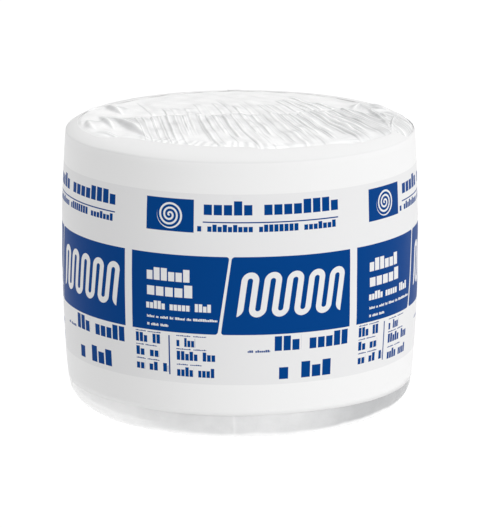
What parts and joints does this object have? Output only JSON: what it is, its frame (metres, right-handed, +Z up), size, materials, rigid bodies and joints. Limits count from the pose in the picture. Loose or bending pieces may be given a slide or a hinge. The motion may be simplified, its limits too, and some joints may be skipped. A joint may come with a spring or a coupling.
{
  "type": "insulation roll",
  "caption": "Rolled glass wool insulation blanket standing on end, in a clear film bag gathered over both ends, with a printed white film wrap round the side.",
  "frame": {"origin": "middle of the face that the roll stands on", "axes": "+Z up the roll's axis, -Y towards the printed front, +X to the right of someone facing the front"},
  "size_m": [0.7221, 0.7222, 0.5926],
  "materials": {
    "glass_wool": "matt white, fibrous",
    "clear_film": "clear gloss film",
    "printed_film": "white satin film with blue print"
  },
  "bodies": {
    "root": {"wool_roll": "glass_wool", "clear_bag": "clear_film", "printed_wrap": "printed_film"}
  },
  "joints": []
}
